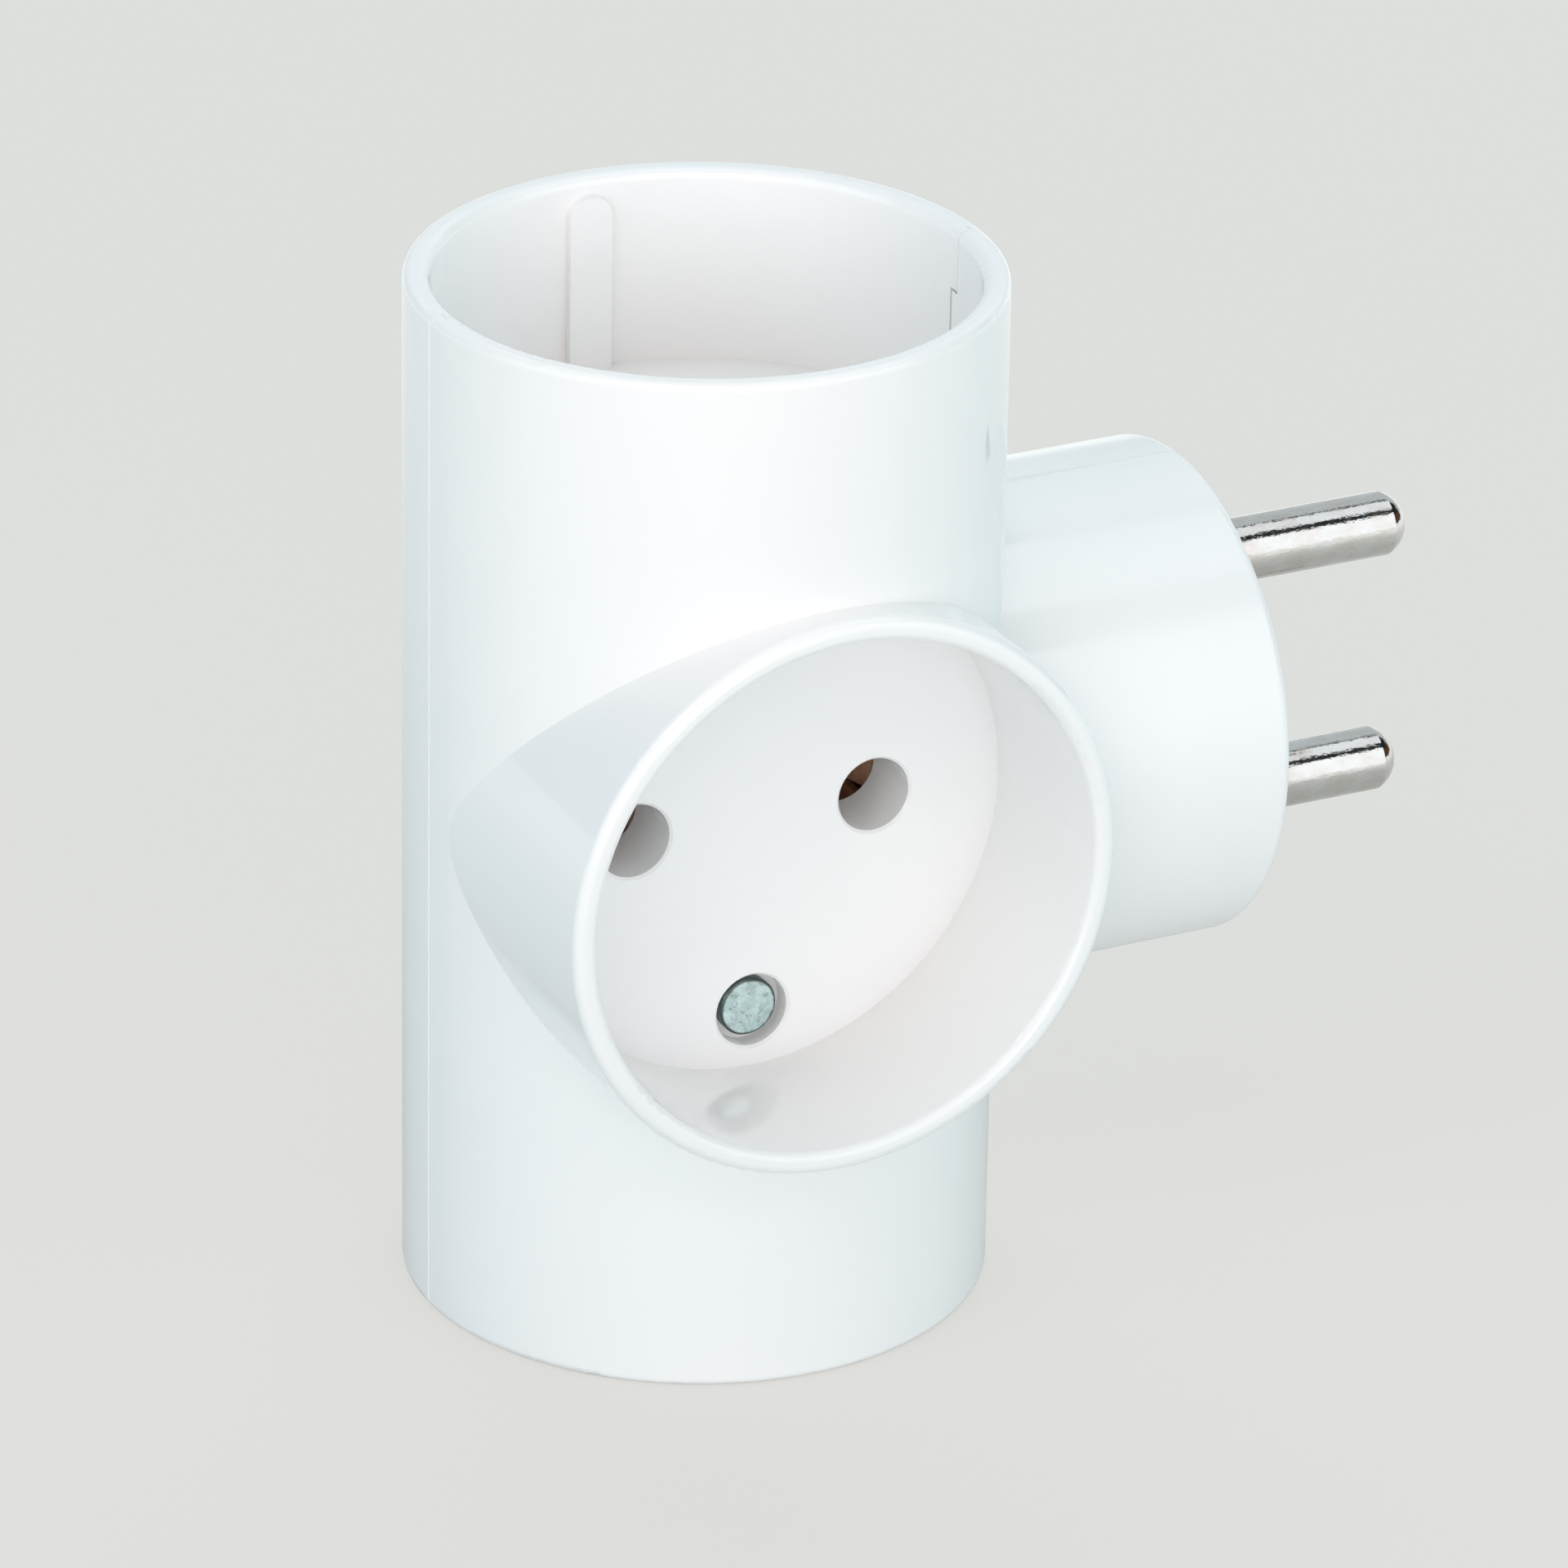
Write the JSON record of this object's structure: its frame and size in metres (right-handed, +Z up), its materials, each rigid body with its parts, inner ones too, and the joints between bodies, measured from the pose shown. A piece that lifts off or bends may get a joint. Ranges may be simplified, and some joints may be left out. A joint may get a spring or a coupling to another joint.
{
  "type": "multi socket adapter",
  "caption": "Upright tube adapter with an open round socket well at each end, a side socket cup and a round plug boss with round pins, in riveted half shells.",
  "frame": {"origin": "on the tube's axis, in the plane of the lower rim that the adapter stands on", "axes": "+Z up the tube, +X along the plug pins towards their tips, -Y out of the side socket cup; the half shells part on Y = 0"},
  "size_m": [0.0788, 0.0454, 0.0774],
  "materials": {
    "housing_plastic": "glossy white moulded thermoset",
    "nickel_plate": "bright nickel plate with faint drawn lines",
    "contact_brass": "dull copper-brown spring brass",
    "zinc_plate": "mottled zinc plate"
  },
  "bodies": {
    "root": {"front_shell": "housing_plastic", "back_shell": "housing_plastic", "upper_plug_pin": "nickel_plate", "lower_plug_pin": "nickel_plate", "upper_pole_contact": "contact_brass", "lower_pole_contact": "contact_brass", "case_rivets": "zinc_plate"}
  },
  "joints": []
}
